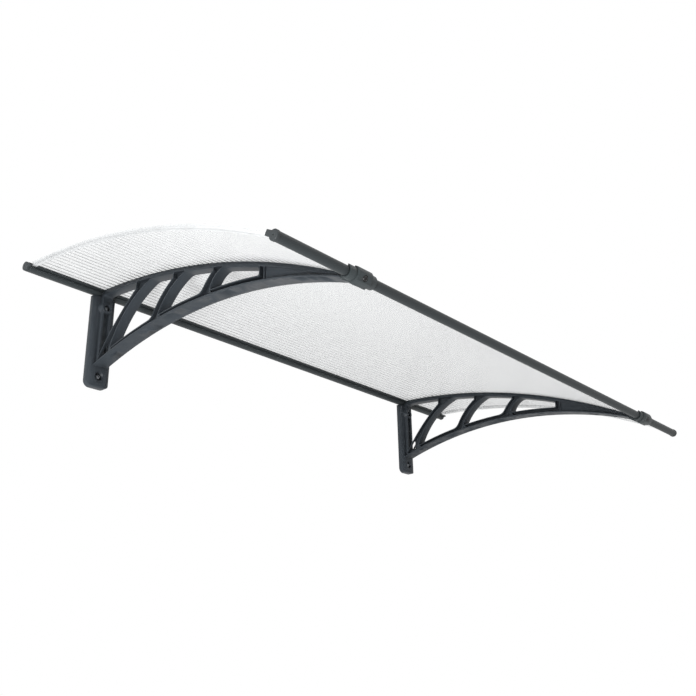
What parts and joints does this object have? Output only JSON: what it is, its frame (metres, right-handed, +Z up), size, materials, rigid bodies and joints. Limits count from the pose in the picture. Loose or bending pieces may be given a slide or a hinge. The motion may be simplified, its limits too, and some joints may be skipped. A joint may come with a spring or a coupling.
{
  "type": "door canopy",
  "caption": "Curved door canopy: a clear ribbed twin-wall sheet between a wall bar and a front bar, on two dark truss brackets with wall legs",
  "frame": {"origin": "on the wall plane, half way between the brackets, behind the middle of the rear bar's flat foot", "axes": "+X along the wall, to the right seen from the front; -Y out from the wall; +Z up"},
  "size_m": [1.5252, 0.7903, 0.2404],
  "materials": {
    "bracket_plastic": "satin moulded plastic",
    "clamp_plastic": "satin moulded plastic",
    "cap_plastic": "satin moulded plastic",
    "bar_paint": "satin powder coat",
    "clear_sheet": "clear twin-wall, glossy skins",
    "clear_trim": "clear, glossy",
    "zinc_steel": "bright zinc plate",
    "clamp_screw_steel": "black coated head"
  },
  "bodies": {
    "root": {"sheet": "clear_sheet", "rear_bar": "bar_paint", "front_bar": "bar_paint", "bracket_left": "bracket_plastic", "front_clamp_left": "clamp_plastic", "wall_screw_upper_left": "zinc_steel", "wall_screw_lower_left": "zinc_steel", "clamp_screw_left": "clamp_screw_steel", "edge_trim_left": "clear_trim", "rear_end_cap_left": "cap_plastic", "front_end_cap_left": "cap_plastic", "bracket_right": "bracket_plastic", "front_clamp_right": "clamp_plastic", "wall_screw_upper_right": "zinc_steel", "wall_screw_lower_right": "zinc_steel", "clamp_screw_right": "clamp_screw_steel", "edge_trim_right": "clear_trim", "rear_end_cap_right": "cap_plastic", "front_end_cap_right": "cap_plastic"}
  },
  "joints": []
}
